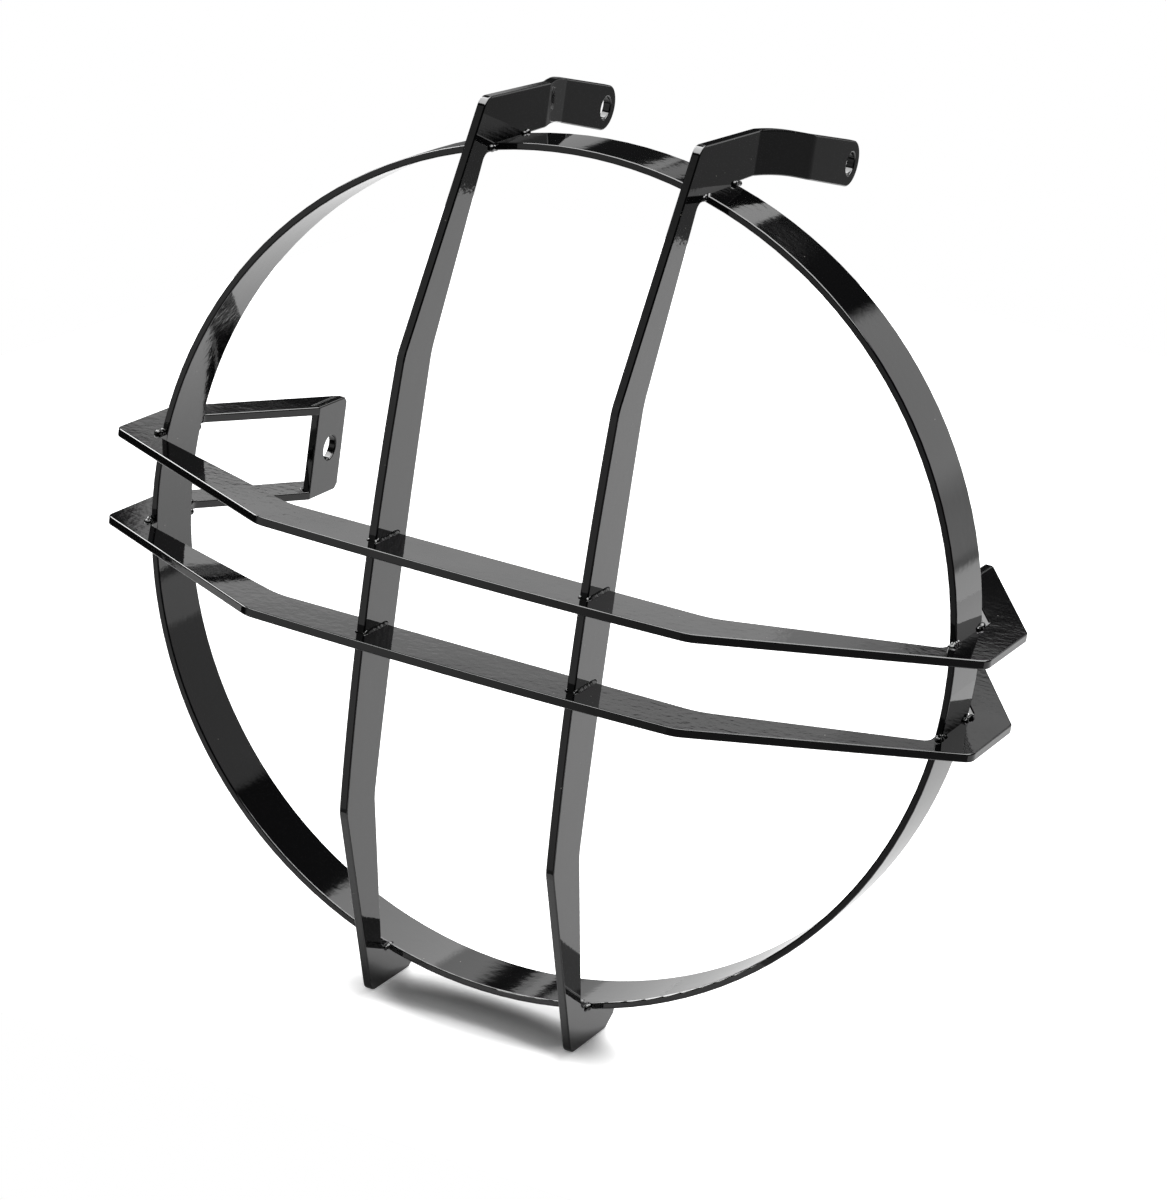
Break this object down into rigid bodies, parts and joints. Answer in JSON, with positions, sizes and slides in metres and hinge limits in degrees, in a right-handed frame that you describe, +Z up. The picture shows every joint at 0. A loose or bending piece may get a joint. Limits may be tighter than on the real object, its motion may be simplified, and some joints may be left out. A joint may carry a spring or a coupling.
{
  "type": "motorcycle headlight guard",
  "caption": "Welded steel guard for a round motorcycle headlight: a flat-bar hoop with a grid of upright and cross bars in front, and slotted-in arms with bolt holes at the top and sides",
  "frame": {"origin": "middle of the side bolts' axis, half way between the two bolt plates", "axes": "+X to the right seen from the front, along both bolt axes; +Y to the rear of the lamp, so the grid faces -Y; +Z up, along the uprights"},
  "size_m": [0.265, 0.1446, 0.2604],
  "materials": {
    "black_coat": "gloss black powder coat over cut and bent steel plate",
    "weld_coat": "the same gloss black coat flowed over weld beads"
  },
  "bodies": {
    "root": {"hoop": "black_coat", "right_upright": "black_coat", "left_upright": "black_coat", "upper_crossbar": "black_coat", "lower_crossbar": "black_coat", "right_bolt_plate": "black_coat", "left_bolt_plate": "black_coat", "lap_welds": "weld_coat", "upright_hoop_welds": "weld_coat", "crossbar_hoop_welds": "weld_coat", "bolt_plate_welds": "weld_coat"}
  },
  "joints": []
}
